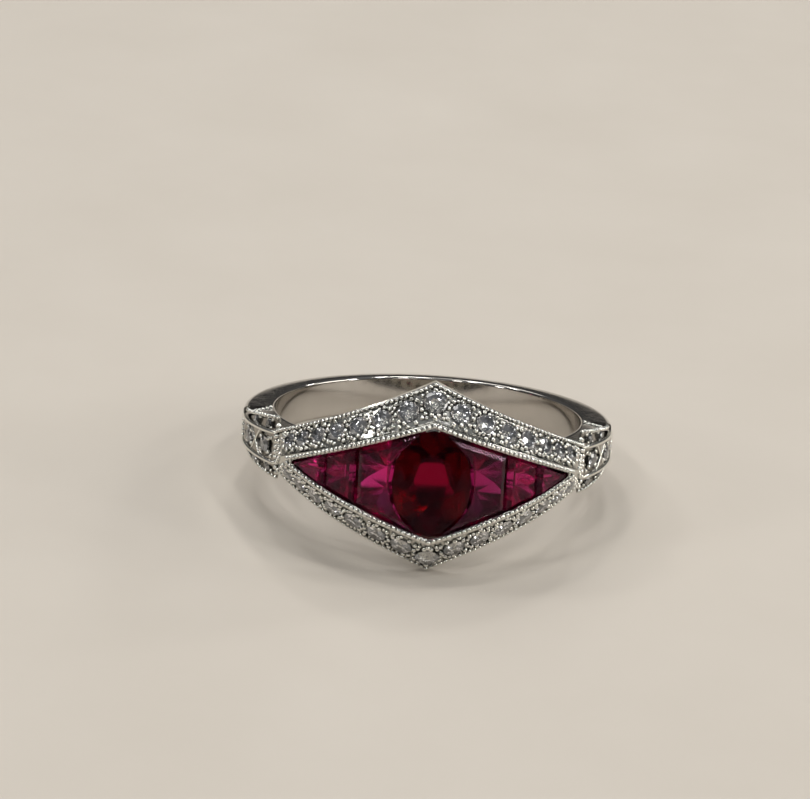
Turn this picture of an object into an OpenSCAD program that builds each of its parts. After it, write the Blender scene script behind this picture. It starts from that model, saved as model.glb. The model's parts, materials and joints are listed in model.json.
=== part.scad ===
// Cocktail ring: a lozenge head of channel-set rubies inside a bevelled diamond border,
// with leaf-set shoulders on a plain band that thins towards the back.
// Units are millimetres. The ring lies on its side as it rests on a table: the lower point of
// the border and the back of the band touch the table, +Z is up, the head faces -Y and the
// origin is the middle of the finger hole.

/* [Band] */
// Radius of the finger hole
bore_r = 8.5; // [7.5:0.1:10.5]
// Width of the band along the finger
band_w = 2.2; // [1.8:0.1:3]
// Thickness of the band at the back
back_t = 1.0; // [0.8:0.05:1.6]
// How much thicker the band is at the sides than at the back
side_gain = 0.7; // [0.4:0.05:1.2]
// Chamfer on the outer edges of the band
band_edge = 0.15; // [0.05:0.01:0.25]
// Width of the slot behind the rubies
slot_w = 1.5; // [1:0.1:1.6]
// Half angle of the slot behind the rubies
slot_a = 36; // [25:1:40]

/* [Ruby window] */
// Height of the ruby window's middle above the band
head_h = 2.3; // [2.1:0.05:3]
// Radius of the curve the ruby row follows
head_r = 9.6; // [9:0.1:11]
// Half length of the ruby window, as an angle on that curve
win_a = 51.4; // [46:0.2:54]
// Half height of the ruby window at its middle
win_h = 3.0; // [2.5:0.1:3.6]
// Thickness of the channel wall round the rubies
wall_t = 0.3; // [0.24:0.02:0.4]
// How far the channel wall stands above the border
wall_up = 0.08; // [0.04:0.01:0.16]
// Depth of the seat ledge in the channel below the girdles of the rubies
ledge_d = 0.5; // [0.45:0.05:0.7]
// Reach of the seat ledge at the foot of the channel wall
ledge_w = 0.14; // [0.08:0.02:0.16]
// Height of the seat ledge
ledge_h = 0.3; // [0.2:0.05:0.4]

/* [Border] */
// Half height of the border at its points
apex_h = 5.1; // [4.6:0.1:5.8]
// Drop of the border's edge below the ruby curve at its points
apex_drop = 1.6; // [1.2:0.1:2]
// Half angle at which the border ends against the shoulders
end_a = 67; // [64:0.5:70]
// Half height of the border where it meets a shoulder
end_h = 1.1; // [0.9:0.05:1.3]
// Hollowing of the border's outer edge (1 is straight)
edge_curve = 1.1; // [1:0.05:1.3]
// Thickness of the border plate at its outer edge
edge_t = 0.45; // [0.35:0.05:0.55]
// Thickness of the border plate at the channel
plate_t = 0.95; // [0.7:0.05:1.1]

/* [Rubies] */
// Half width of the oval middle ruby
oval_rx = 2.0; // [1.7:0.05:2.2]
// Part of the window's half height that the oval middle ruby fills
oval_fill = 0.94; // [0.88:0.01:0.95]
// Angle at which the inner side rubies end
inner_a = 24.6; // [22:0.1:26]
// Angle at which the middle side rubies end
middle_a = 35.8; // [33:0.1:39]
// Depth of the rubies' girdles below the ruby curve
ruby_sit = 0.2; // [0.15:0.05:0.4]
// Crown height of the rubies
ruby_crown = 0.3; // [0.2:0.05:0.4]
// Pavilion depth of the oval ruby
oval_pav = 1.75; // [1.2:0.05:1.8]
// Pavilion depth of the side rubies
side_pav = 0.95; // [0.8:0.05:1.1]
// Gap between neighbouring rubies
ruby_gap = 0.06; // [0.03:0.01:0.1]

/* [Diamonds] */
// Border diamonds on each side of a point
border_n = 7; // [5:1:8]
// Diameter of the diamond at a point of the border
point_d = 1.28; // [1.1:0.02:1.36]
// Diameter of the last diamond at an end of the border
last_d = 0.86; // [0.7:0.02:0.96]
// Where the last diamond sits, as a part of the border's half length
last_u = 0.9; // [0.86:0.01:0.92]
// Diameter of the diamonds on the shoulder fronts
front_d = 0.9; // [0.7:0.05:1]
// Diameter of the diamonds in the leaves on the shoulders' leaning sides
leaf_d = 0.5; // [0.44:0.02:0.52]
// Depth of the leaf-shaped recess round a leaf diamond
leaf_depth = 0.07; // [0.04:0.01:0.1]

/* [Shoulders] */
// How far a shoulder front stands above the end of the border
bar_up = 0.04; // [0:0.01:0.1]
// Extra roundness of the shoulder front
bulge = 0.1; // [0:0.02:0.2]
// Half height of a shoulder's front, next to the head
rail_head = 0.84; // [0.76:0.02:0.9]
// Half height of a shoulder's front, at its far end
rail_band = 0.64; // [0.58:0.02:0.7]
// How far a shoulder's crests stand beyond the sides of the band, next to the head
crest_head = 0.6; // [0.54:0.02:0.66]
// How far a shoulder's crests stand beyond the sides of the band, at its far end
crest_band = 0.1; // [0.08:0.01:0.14]
// How far a shoulder's crests stay behind its front
crest_in = 0.22; // [0.18:0.02:0.26]
// How far a shoulder stands beyond the sides of the band at the finger hole
rim_up = 0.24; // [0.2:0.02:0.3]

/* [Gallery] */
// Part of the border's half length that the gallery walls reach
gallery_u = 0.92; // [0.85:0.01:0.93]
// Pierced openings in each gallery wall
gallery_n = 9; // [7:2:11]
// Largest half width of a pierced opening
pierce_r = 0.42; // [0.25:0.01:0.5]

/* [Beads] */
// Radius of a milgrain bead
mil_r = 0.125; // [0.1:0.005:0.14]
// Spacing of the milgrain beads
mil_step = 0.285; // [0.28:0.005:0.36]
// Radius of a setting grain
grain_r = 0.13; // [0.1:0.005:0.15]

/* [Fit] */
// Clearance between neighbouring pieces
fit = 0.02; // [0.01:0.005:0.04]

/* [Hidden] */
$fn = 64;
// stations along the head and along a shoulder
seg = 40;
sseg = 16;
hoop_r = bore_r + back_t;
outer_r = hoop_r + side_gain;
head_y = head_r - hoop_r - head_h;
win_slope = atan(win_h / (head_r * win_a * PI / 180));
// half height of the blunted tips of the window
tip_z = 0.07;
frame_off = wall_t + fit;
girdle_t = 0.06;
rub_girdle = head_r - ruby_sit;
wall_d = ruby_sit + ledge_d + ledge_h;
oval_rz = win_h * oval_fill;
oval_a = atan(oval_rx / rub_girdle);
fit_a = fit / hoop_r * 180 / PI;
// the border's ends clear the thin front of the band by a few fits
end_under = head_y * cos(end_a) + sqrt(pow(hoop_r + 4 * fit, 2) - pow(head_y * sin(end_a), 2));
end_drop = head_r - end_under - edge_t;
// the shoulders fill the space from the border's end to the thick part of the band
end_x = (end_under + edge_t) * sin(end_a);
end_y = head_y - (end_under + edge_t) * cos(end_a);
shoulder_a = atan2(end_x, -end_y) + 2 * fit_a;
bar_r = norm([end_x, end_y]) + bar_up;
far_r = outer_r - fit;
far_a = 90 - fit_a;
// brilliant cut, for a stone of radius 1
cut_table = 0.56;
cut_crown = 0.3;
cut_star = 0.8;
cut_pav = 0.86;
cut_low = 0.3;
// the stone's girdle sits this far below the metal, in parts of its diameter
sink = 0.04;
// widening of a seat at the top, in parts of the stone's diameter
flare = 0.1;
bead_lift = fit / 2;
// power of the fall of a shoulder's crests towards the band
crest_curve = 0.7;
// places of the stones and bead rows along a shoulder, and across a leaning side
bar_t = [0.04, 0.96];
front_t = [0.18, 0.52];
leaf_t = [0.14, 0.385];
leaf_v = 0.5;
// length and width of a leaf recess, in parts of its diamond's diameter
leaf_size = [2.4, 1.22];
// places of the milgrain and of the setting grains across the border
edge_v = 0.925;
grain_v = 0.14;
foot_r = [bore_r + 0.1 * back_t, bore_r + 0.9 * back_t];
low_r = head_r - apex_drop - edge_t;
// lean of the ring when it lies on the table
tilt = -atan((apex_h - band_w / 2) / (low_r - head_y + hoop_r - band_edge));

rows = ["upper", "lower"];
sides = ["left", "right"];
base_nodes = ["shank", "left_shoulder", "right_shoulder", "head_frame", "ruby_channel",
  "upper_gallery", "lower_gallery", "center_ruby"];
ruby_nodes = [for (s = sides, k = ["inner", "middle", "tip"]) str(s, "_", k, "_ruby")];
point_nodes = [for (r = rows) str(r, "_point_diamond")];
border_nodes = [for (r = rows, s = sides, k = [1:border_n]) str(r, "_", s, "_diamond_", k)];
front_nodes = [for (s = sides, k = [1:2]) str(s, "_shoulder_diamond_", k)];
trim_nodes = ["left_leaf_diamonds", "right_leaf_diamonds", "ruby_milgrain", "border_milgrain",
  "shoulder_milgrain", "setting_grains"];

metal = [0.83, 0.82, 0.79];
ruby = [0.5, 0.02, 0.12];
diamond = [0.93, 0.95, 0.98];

function mix(a, b, t) = a + (b - a) * t;
function unit(v) = v / norm(v);
// point at an angle, height and radius on the head's curve
function hp(a, z, r) = [r * sin(a), head_y - r * cos(a), z];
// point at an angle, height and radius round the finger
function rp(a, z, r) = [r * sin(a), -r * cos(a), z];
// window edge moved outwards by off: height at an angle, and the angle of the blunted tip
function loz_z(a, off) = win_h * (1 - abs(a) / win_a) + off / cos(win_slope);
function tip_a(off) = win_a * (1 + (off / cos(win_slope) - tip_z) / win_h);
function edge_in(u, off) = let(a = u * tip_a(off)) [a, loz_z(a, off)];
function edge_out(u) = [u * end_a, mix(end_h, apex_h, pow(1 - abs(u), edge_curve))];
function out_r(u) = head_r - mix(apex_drop, end_drop, abs(u));
// border surface: u runs from tip to tip, v from the channel to the outer edge, s is the side
function border_at(u, v, s) =
  let(i = edge_in(u, frame_off), o = edge_out(u))
  mix(hp(i[0], s * i[1], head_r), hp(o[0], s * o[1], out_r(u)), v);
function border_n_at(u, v, s) =
  let(d = 0.01, p = border_at(u, v, s))
  unit(s * cross(border_at(u + d, v, s) - border_at(u - d, v, s), border_at(u, v + d, s) - p));

// shoulder surfaces: t runs from the head to the band
function sh_a(t) = mix(shoulder_a, far_a, t);
function sh_front_r(t) = mix(bar_r, far_r, t) + bulge * 4 * t * (1 - t);
function sh_front_z(t) = mix(rail_head, rail_band, t);
function sh_crest_z(t) = band_w / 2 + mix(crest_head, crest_band, pow(t, crest_curve));
// leaning side of a shoulder: v runs from its crest to its front, s is the side
function side_at(t, v, s) =
  rp(sh_a(t), s * mix(sh_crest_z(t), sh_front_z(t), v), sh_front_r(t) - crest_in * (1 - v));
function side_n_at(t, v, s) =
  let(d = 0.01, p = side_at(t, v, s))
  unit(s * cross(side_at(t, v + d, s) - p, side_at(t + d, v, s) - p));

// diameter and place of border diamond k, counted from the point of the border
function border_d(k) = mix(point_d, last_d, k / border_n);
function border_u(k) = last_u * k / border_n * (1 + 0.2 * (1 - k / border_n));

// ring of sections joined into one closed loop, or into a bar with flat ends
module loop_solid(secs, closed = true) {
  n = len(secs);
  m = len(secs[0]);
  last = closed ? n - 1 : n - 2;
  pts = [for (s = secs, p = s) p];
  skin = [for (i = [0:last], j = [0:m - 1], h = [0, 1])
    let(a = i * m, b = ((i + 1) % n) * m, k = (j + 1) % m)
    h == 0 ? [a + j, a + k, b + k] : [a + j, b + k, b + j]];
  caps = closed ? [] : [[for (j = [m - 1:-1:0]) j], [for (j = [0:m - 1]) (n - 1) * m + j]];
  polyhedron(points = pts, faces = concat(skin, caps), convexity = 8);
}

// puts its children at a point with their own +Z along a direction, +X kept level if it can be
module at_surface(p, n) {
  x = unit(cross([0, 0, 1], n));
  y = cross(n, x);
  multmatrix([[x[0], y[0], n[0], p[0]], [x[1], y[1], n[1], p[1]], [x[2], y[2], n[2], p[2]]])
    children();
}

// lays the ring down on the table
module lay() {
  rotate([tilt, 0, 0]) children();
}

// brilliant-cut stone with its girdle at z = 0
module brilliant(rx, ry, crown, pav) {
  mid_h = crown * (1 - cut_star * cos(22.5)) / (1 - cut_table);
  low_h = -pav * (1 - cut_low * cos(22.5));
  g = girdle_t / 2;
  pts = concat(
    [for (k = [0:7]) [rx * cut_table * cos(45 * k), ry * cut_table * sin(45 * k), crown + g]],
    [for (k = [0:7]) [rx * cut_star * cos(45 * k + 22.5), ry * cut_star * sin(45 * k + 22.5), mid_h + g]],
    [for (k = [0:15]) [rx * cos(22.5 * k), ry * sin(22.5 * k), g]],
    [for (k = [0:15]) [rx * cos(22.5 * k), ry * sin(22.5 * k), -g]],
    [for (k = [0:7]) [rx * cut_low * cos(45 * k + 22.5), ry * cut_low * sin(45 * k + 22.5), low_h - g]],
    [[0, 0, -pav - g]]);
  faces = concat(
    [[for (k = [7:-1:0]) k]],
    [for (k = [0:7]) [k, (k + 1) % 8, 8 + k]],
    [for (k = [0:7]) [k, 8 + k, 16 + 2 * k]],
    [for (k = [0:7]) [k, 16 + 2 * k, 8 + (k + 7) % 8]],
    [for (k = [0:7]) [8 + k, 17 + 2 * k, 16 + 2 * k]],
    [for (k = [0:7]) [8 + k, 16 + (2 * k + 2) % 16, 17 + 2 * k]],
    [for (k = [0:15]) [16 + k, 16 + (k + 1) % 16, 32 + (k + 1) % 16]],
    [for (k = [0:15]) [16 + k, 32 + (k + 1) % 16, 32 + k]],
    [for (k = [0:7]) [48 + k, 32 + 2 * k, 33 + 2 * k]],
    [for (k = [0:7]) [48 + k, 33 + 2 * k, 32 + (2 * k + 2) % 16]],
    [for (k = [0:7]) [56, 32 + 2 * k, 48 + k]],
    [for (k = [0:7]) [56, 48 + (k + 7) % 8, 32 + 2 * k]]);
  polyhedron(points = pts, faces = faces, convexity = 4);
}

// step-cut stone with a given outline, its girdle at z = 0
module step_cut(outline, mid, crown, pav) {
  g = girdle_t / 2;
  m = len(outline);
  steps = [[0.62, -0.62 * pav - g], [1, -g], [1, g], [0.86, 0.6 * crown + g], [0.68, crown + g]];
  n = len(steps);
  pts = concat([for (s = steps, p = outline) let(q = mix(mid, p, s[0])) [q[0], q[1], s[1]]],
    [[mid[0], mid[1], -pav - g], [mid[0], mid[1], crown + g]]);
  skin = [for (i = [0:n - 2], j = [0:m - 1], h = [0, 1])
    let(a = i * m, b = a + m, k = (j + 1) % m)
    h == 0 ? [a + j, a + k, b + k] : [a + j, b + k, b + j]];
  culet = [for (j = [0:m - 1]) [n * m, (j + 1) % m, j]];
  table = [for (j = [0:m - 1]) [n * m + 1, (n - 1) * m + j, (n - 1) * m + (j + 1) % m]];
  polyhedron(points = pts, faces = concat(skin, culet, table), convexity = 6);
}

// round diamond, girdle just under the metal it is set in
module round_diamond(d) {
  translate([0, 0, -sink * d]) brilliant(d / 2, d / 2, cut_crown * d / 2, cut_pav * d / 2);
}

// drilled seat a round diamond drops into
module seat(d) {
  r = d / 2 + fit;
  deep = girdle_t / 2 + cut_pav * d / 2 + 2 * fit;
  translate([0, 0, -sink * d]) rotate_extrude() polygon([[0, -deep], [fit, -deep],
    [r, -girdle_t / 2 - fit], [r, girdle_t / 2], [r + flare * d, sink * d + girdle_t / 2],
    [r + flare * d, d / 2], [0, d / 2]]);
}

// leaf-shaped recess: where two round cutters meet
module leaf(l, w, h) {
  r = (l * l + w * w) / (4 * w);
  intersection() {
    translate([0, r - w / 2, -h]) cylinder(r = r, h = 4 * h);
    translate([0, w / 2 - r, -h]) cylinder(r = r, h = 4 * h);
  }
}

// pierced opening: a round hole drawn out to a point
module drop(r, l, h) {
  a = asin(r / l);
  linear_extrude(height = h, center = true) {
    circle(r = r);
    polygon([[-r * cos(a), r * sin(a)], [0, -r / 2], [r * cos(a), r * sin(a)], [0, l]]);
  }
}

// small dome: a bead raised on the metal
module dome(r) {
  difference() {
    translate([0, 0, bead_lift]) sphere(r = r);
    translate([-2 * r, -2 * r, bead_lift - 4 * r]) cube(4 * r);
  }
}

module shank() {
  color(metal) lay() difference() {
    union() {
      intersection() {
        translate([0, -side_gain, 0]) rotate_extrude() polygon([[0, -band_w / 2],
          [outer_r - band_edge, -band_w / 2], [outer_r, band_edge - band_w / 2],
          [outer_r, band_w / 2 - band_edge], [outer_r - band_edge, band_w / 2], [0, band_w / 2]]);
        translate([-2 * outer_r, 0, -band_w]) cube([4 * outer_r, 2 * outer_r, 2 * band_w]);
      }
      cylinder(r = hoop_r, h = band_w, center = true);
    }
    cylinder(r = bore_r, h = 2 * band_w, center = true);
    linear_extrude(height = slot_w, center = true) polygon([[0, 0],
      [-2 * hoop_r * sin(slot_a), -2 * hoop_r * cos(slot_a)],
      [2 * hoop_r * sin(slot_a), -2 * hoop_r * cos(slot_a)]]);
  }
}

// saddle over the thin front half of the band, for the +X side
module shoulder_blank() {
  seat_r = hoop_r + fit;
  seat_z = band_w / 2 + fit;
  rim_r = bore_r + fit;
  rim_z = band_w / 2 + rim_up;
  loop_solid([for (i = [0:sseg]) let(t = i / sseg, a = sh_a(t)) [
    rp(a, -seat_z, seat_r), rp(a, -seat_z, rim_r), rp(a, -rim_z, rim_r),
    side_at(t, 0, -1), side_at(t, 1, -1), side_at(t, 1, 1), side_at(t, 0, 1),
    rp(a, rim_z, rim_r), rp(a, seat_z, rim_r), rp(a, seat_z, seat_r)]],
    closed = false);
}

module on_front(k) {
  t = front_t[k];
  at_surface(rp(sh_a(t), 0, sh_front_r(t)), rp(sh_a(t), 0, 1)) children();
}

module on_leaf(k, s) {
  t = leaf_t[k];
  at_surface(side_at(t, leaf_v, s), side_n_at(t, leaf_v, s)) children();
}

module shoulder() {
  difference() {
    shoulder_blank();
    for (k = [0, 1]) {
      on_front(k) seat(front_d);
      for (s = [-1, 1]) {
        on_leaf(k, s) seat(leaf_d);
        on_leaf(k, s) leaf(leaf_size[0] * leaf_d, leaf_size[1] * leaf_d, leaf_depth);
      }
    }
  }
}

module left_shoulder() {
  color(metal) lay() mirror([1, 0, 0]) shoulder();
}

module right_shoulder() {
  color(metal) lay() shoulder();
}

// one section of the border plate, on the upper or lower side
function frame_sec(u, s) =
  let(i = edge_in(u, frame_off), o = edge_out(u)) [
    hp(i[0], s * i[1], head_r), hp(o[0], s * o[1], out_r(u)),
    hp(o[0], s * o[1], out_r(u) - edge_t), hp(i[0], s * i[1], head_r - plate_t)];

module on_border(u, v, s) {
  at_surface(border_at(u, v, s), border_n_at(u, v, s)) children();
}

module head_frame() {
  color(metal) lay() difference() {
    loop_solid(concat([for (i = [0:seg]) frame_sec(2 * i / seg - 1, 1)],
      [for (i = [seg:-1:0]) frame_sec(2 * i / seg - 1, -1)]));
    for (s = [-1, 1]) {
      on_border(0, 0.5, s) seat(point_d);
      for (k = [1:border_n], x = [-1, 1])
        on_border(x * border_u(k), 0.5, s) seat(border_d(k));
    }
  }
}

// one section of the channel wall and its seat ledge
function channel_sec(u, s) =
  let(o = edge_in(u, wall_t), i = edge_in(u, -fit), l = edge_in(u, -ledge_w)) [
    hp(i[0], s * i[1], head_r + wall_up), hp(o[0], s * o[1], head_r + wall_up),
    hp(o[0], s * o[1], head_r - wall_d), hp(l[0], s * l[1], head_r - wall_d),
    hp(l[0], s * l[1], head_r - wall_d + ledge_h), hp(i[0], s * i[1], head_r - wall_d + ledge_h)];

module ruby_channel() {
  color(metal) lay() loop_solid(concat([for (i = [0:seg]) channel_sec(2 * i / seg - 1, 1)],
    [for (i = [seg:-1:0]) channel_sec(2 * i / seg - 1, -1)]));
}

// one section of a gallery wall, from the side of the band to the underside of the border
function gallery_sec(u) =
  let(f = frame_sec(u, 1), z = band_w / 2 + fit,
    a = u / gallery_u * (shoulder_a - fit_a),
    lift = fit * unit(cross(frame_sec(u + 0.01, 1)[2] - f[2], f[3] - f[2])),
    reach = min(0.3, (f[2][2] - z - fit) / (f[2][2] - f[3][2])))
  [rp(a, z, foot_r[0]), rp(a, z, foot_r[1]), mix(f[2], f[3], reach) + lift, mix(f[2], f[3], 0.04) + lift];

module gallery() {
  difference() {
    loop_solid([for (i = [0:seg]) gallery_sec(gallery_u * (2 * i / seg - 1))], closed = false);
    for (i = [1:gallery_n]) {
      g = gallery_sec(gallery_u * (2 * i / (gallery_n + 1) - 1));
      low = (g[0] + g[1]) / 2;
      top = (g[2] + g[3]) / 2;
      rise = norm(top - low);
      r = min(pierce_r, 0.22 * rise);
      out = unit(cross(unit(top - low), cross([0, 0, 1], low)));
      at_surface(mix(low, top, 0.4), out) drop(r, 0.4 * rise, 4 * back_t);
    }
  }
}

module upper_gallery() {
  color(metal) lay() gallery();
}

module lower_gallery() {
  color(metal) lay() mirror([0, 0, 1]) gallery();
}

// puts its children in the plane of a ruby, table outwards, local +X along the row
module in_window(a) {
  translate(hp(a, 0, rub_girdle)) rotate([90, 0, 0]) rotate([0, a, 0]) children();
}

module center_ruby() {
  color(ruby) lay() in_window(0)
    brilliant(oval_rx, oval_rz, ruby_crown, oval_pav);
}

// outline of a side ruby, between two angles on the head's curve
function side_outline(a0, a1, inner) =
  let(a = (a0 + a1) / 2, w = rub_girdle * tan((a1 - a0) / 2) - ruby_gap / 2,
    zt = function(t) loz_z(a + atan(t / rub_girdle), -2 * fit),
    hz = 0.7 * oval_rz,
    tx = function(x) (x - rub_girdle * sin(a)) / cos(a),
    ox = function(z) tx((oval_rx + ruby_gap) * sqrt(1 - pow(z / (oval_rz + ruby_gap), 2))),
    far = max(zt(w), tip_z),
    near = [for (i = [0:6]) let(z = mix(-hz, hz, i / 6)) [ox(z), z]])
  inner ?
    concat(near, [[ox(hz), zt(ox(hz))], [w, far], [w, -far], [ox(hz), -zt(ox(hz))]]) :
    [[-w, -zt(-w)], [-w, zt(-w)], [w, far], [w, -far]];

module side_ruby(a0, a1, inner) {
  o = side_outline(a0, a1, inner);
  blunt = o[2][1] > 0.3 * o[1][1];
  mid_x = inner ? mix(o[3][0], o[8][0], 0.5) : mix(o[0][0], o[2][0], blunt ? 0.47 : 0.36);
  in_window((a0 + a1) / 2) mirror([0, 1, 0]) step_cut(o, [mid_x, 0], ruby_crown, side_pav);
}

module row_ruby(k) {
  edges = [oval_a, inner_a, middle_a, tip_a(-2 * fit)];
  color(ruby) side_ruby(edges[k], edges[k + 1], k == 0);
}

module left_ruby(k) {
  lay() mirror([1, 0, 0]) row_ruby(k);
}

module right_ruby(k) {
  lay() row_ruby(k);
}

module border_diamond(u, s, d) {
  color(diamond) lay() on_border(u, 0.5, s) round_diamond(d);
}

module shoulder_diamond(x, k) {
  color(diamond) lay() mirror([x < 0 ? 1 : 0, 0, 0]) on_front(k) round_diamond(front_d);
}

module leaf_diamonds(x) {
  color(diamond) lay() mirror([x < 0 ? 1 : 0, 0, 0])
    for (k = [0, 1], s = [-1, 1]) on_leaf(k, s) round_diamond(leaf_d);
}

// lengths of the bead rows, measured along half a side
function path_len(pts) = len(pts) < 2 ? 0 :
  let(d = [for (i = [1:len(pts) - 1]) norm(pts[i] - pts[i - 1])]) d * [for (x = d) 1];

function rim_at(u, s) =
  let(e = edge_in(u, wall_t / 2)) hp(e[0], s * e[1], head_r + wall_up);

module ruby_milgrain() {
  n = floor(path_len([for (i = [0:seg / 2]) rim_at(2 * i / seg, 1)]) / mil_step);
  color(metal) lay() for (s = [-1, 1], i = [-n:n]) {
    u = i / n * 0.985;
    a = edge_in(u, wall_t / 2)[0];
    at_surface(rim_at(u, s), hp(a, 0, 1) - [0, head_y, 0]) dome(mil_r);
  }
}

module border_milgrain() {
  n = floor(path_len([for (i = [0:seg / 2]) border_at(2 * i / seg, edge_v, 1)]) / mil_step);
  color(metal) lay() for (s = [-1, 1], i = [-n:n])
    on_border(i / n * 0.975, edge_v, s) dome(mil_r);
}

module shoulder_milgrain() {
  color(metal) lay() for (x = [0, 1], t = bar_t) {
    n = floor((2 * sh_front_z(t) - 2 * mil_r) / mil_step);
    mirror([x, 0, 0]) for (i = [0:n])
      at_surface(rp(sh_a(t), (i - n / 2) * mil_step, sh_front_r(t)), rp(sh_a(t), 0, 1)) dome(mil_r);
  }
}

// distance across the border, from its middle, at which a grain clears diamonds k and k + 1
function grain_room(u, v, k) = min([for (i = [k, k + 1])
  norm(border_at(u, v, 1) - border_at(border_u(i), 0.5, 1)) - border_d(i) / 2 - grain_r]);
function grain_out(u, k, way, w = 0.05) =
  w > 0.4 || grain_room(u, 0.5 + way * w, k) > 2 * fit ? w : grain_out(u, k, way, w + 0.01);
// grains sit clear of the corner grains and of the milgrain, and are left out where there is no room
function grain_places(u, k) =
  let(wide = norm(border_at(u, 1, 1) - border_at(u, 0, 1)),
    low = grain_v + 2 * (grain_r + fit) / wide,
    high = edge_v - (grain_r + mil_r + fit) / wide)
  [for (way = [-1, 1]) let(v = 0.5 + way * grain_out(u, k, way)) if (v > low && v < high) v];

// two grains hold each pair of neighbouring diamonds and a third fills the corner at the channel
module setting_grains() {
  color(metal) lay() for (s = [-1, 1], x = [-1, 1], k = [0:border_n - 1]) {
    u = (border_u(k) + border_u(k + 1)) / 2;
    for (v = concat([grain_v], grain_places(u, k)))
      on_border(x * u, v, s) dome(grain_r);
  }
}

shank();
left_shoulder();
right_shoulder();
head_frame();
ruby_channel();
upper_gallery();
lower_gallery();
center_ruby();
left_ruby(0);  // left_inner_ruby
left_ruby(1);  // left_middle_ruby
left_ruby(2);  // left_tip_ruby
right_ruby(0);  // right_inner_ruby
right_ruby(1);  // right_middle_ruby
right_ruby(2);  // right_tip_ruby
for (r = rows)
  border_diamond(0, r == "upper" ? 1 : -1, point_d);
for (r = rows, x = sides, k = [1:border_n])
  border_diamond((x == "left" ? -1 : 1) * border_u(k), r == "upper" ? 1 : -1, border_d(k));
for (x = sides, k = [1:2])
  shoulder_diamond(x == "left" ? -1 : 1, k - 1);
leaf_diamonds(-1);  // left_leaf_diamonds
leaf_diamonds(1);  // right_leaf_diamonds
ruby_milgrain();
border_milgrain();
shoulder_milgrain();
setting_grains();
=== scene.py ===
"""Looks of the cocktail ring: smooth metal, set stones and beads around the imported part.

The ring is described in its own frame, in millimetres: the finger axis is Z, the head faces -Y and the
finger hole's middle is the origin. to_part() lays it down into the part's frame, in metres.
"""
import json
import math
import random

import bpy
import numpy as np
from mathutils import Matrix, Vector


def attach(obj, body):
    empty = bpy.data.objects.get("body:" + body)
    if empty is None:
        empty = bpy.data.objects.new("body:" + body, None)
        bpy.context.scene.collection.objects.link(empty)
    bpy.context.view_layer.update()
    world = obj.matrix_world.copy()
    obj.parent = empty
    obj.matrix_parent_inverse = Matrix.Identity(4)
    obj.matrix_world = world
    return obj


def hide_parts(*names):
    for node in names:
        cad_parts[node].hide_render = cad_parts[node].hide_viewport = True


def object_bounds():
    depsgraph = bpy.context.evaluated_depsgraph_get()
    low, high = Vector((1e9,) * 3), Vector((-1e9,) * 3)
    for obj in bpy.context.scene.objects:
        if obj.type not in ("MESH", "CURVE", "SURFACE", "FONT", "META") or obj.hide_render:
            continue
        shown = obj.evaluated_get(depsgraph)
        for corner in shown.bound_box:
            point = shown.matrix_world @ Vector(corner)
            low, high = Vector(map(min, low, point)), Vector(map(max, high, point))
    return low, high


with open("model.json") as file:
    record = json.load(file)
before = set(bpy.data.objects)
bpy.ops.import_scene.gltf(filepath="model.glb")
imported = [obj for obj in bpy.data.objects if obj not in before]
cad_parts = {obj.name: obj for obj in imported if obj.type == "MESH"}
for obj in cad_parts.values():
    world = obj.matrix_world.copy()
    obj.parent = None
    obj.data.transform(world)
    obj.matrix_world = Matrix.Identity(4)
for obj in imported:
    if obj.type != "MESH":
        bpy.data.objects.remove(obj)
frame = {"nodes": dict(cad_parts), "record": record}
CAD_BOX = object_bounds()

MM = 0.001
BORE = frame["record"]["mounts"][0]
TILT = -math.atan2(BORE["axis"][1], BORE["axis"][2])

# band; sizes are in millimetres and degrees where no other unit is named
BORE_R = BORE["dims"]["r_mm"]
BAND_W = BORE["dims"]["length_mm"]
BACK_T = 1.0
SIDE_GAIN = 0.7
SLOT_W = 1.5
SLOT_A = 36
HOOP_R = BORE_R + BACK_T
OUTER_R = HOOP_R + SIDE_GAIN

# ruby window and its channel
HEAD_H = 2.3
HEAD_R = 9.6
HEAD_Y = HEAD_R - HOOP_R - HEAD_H
WIN_A = 51.4
WIN_H = 3.0
WALL_T = 0.3
WALL_UP = 0.08
WALL_D = 1.0
LEDGE_W = 0.14
LEDGE_H = 0.3
TIP_Z = 0.07
FIT = 0.02
FRAME_OFF = WALL_T + FIT
WIN_SLOPE = math.cos(math.atan(WIN_H / (HEAD_R * math.radians(WIN_A))))

# border
APEX_H = 5.1
APEX_DROP = 1.6
END_A = 67
END_H = 1.1
EDGE_CURVE = 1.1
EDGE_T = 0.45
PLATE_T = 0.95
END_SIN = HEAD_Y * math.sin(math.radians(END_A))
END_UNDER = HEAD_Y * math.cos(math.radians(END_A)) + math.sqrt((HOOP_R + 4 * FIT) ** 2 - END_SIN ** 2)
END_DROP = HEAD_R - END_UNDER - EDGE_T

# small stones and their drilled seats
BORDER_N = 7
POINT_D = 1.28
LAST_D = 0.86
LAST_U = 0.9
CROWD = 0.2
FRONT_D = 0.9
LEAF_D = 0.5
GIRDLE_T = 0.06
SINK = 0.04
FLARE = 0.1
CUT_PAV = 0.86

# shoulders
BAR_UP = 0.04
BULGE = 0.1
FIT_A = math.degrees(FIT / HOOP_R)
END_X = (END_UNDER + EDGE_T) * math.sin(math.radians(END_A))
END_Y = HEAD_Y - (END_UNDER + EDGE_T) * math.cos(math.radians(END_A))
SHOULDER_A = math.degrees(math.atan2(END_X, -END_Y)) + 2 * FIT_A
BAR_R = math.hypot(END_X, END_Y) + BAR_UP
FAR_R = OUTER_R - FIT
FAR_A = 90 - FIT_A
START_T = -0.008
STOP_T = 0.88
# bead bars: place along a shoulder, number of beads, their radius and how far they stand proud
BARS = ((-0.03, 10, 0.16, 0.07), (0.8, 4, 0.125, 0.0))
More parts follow.
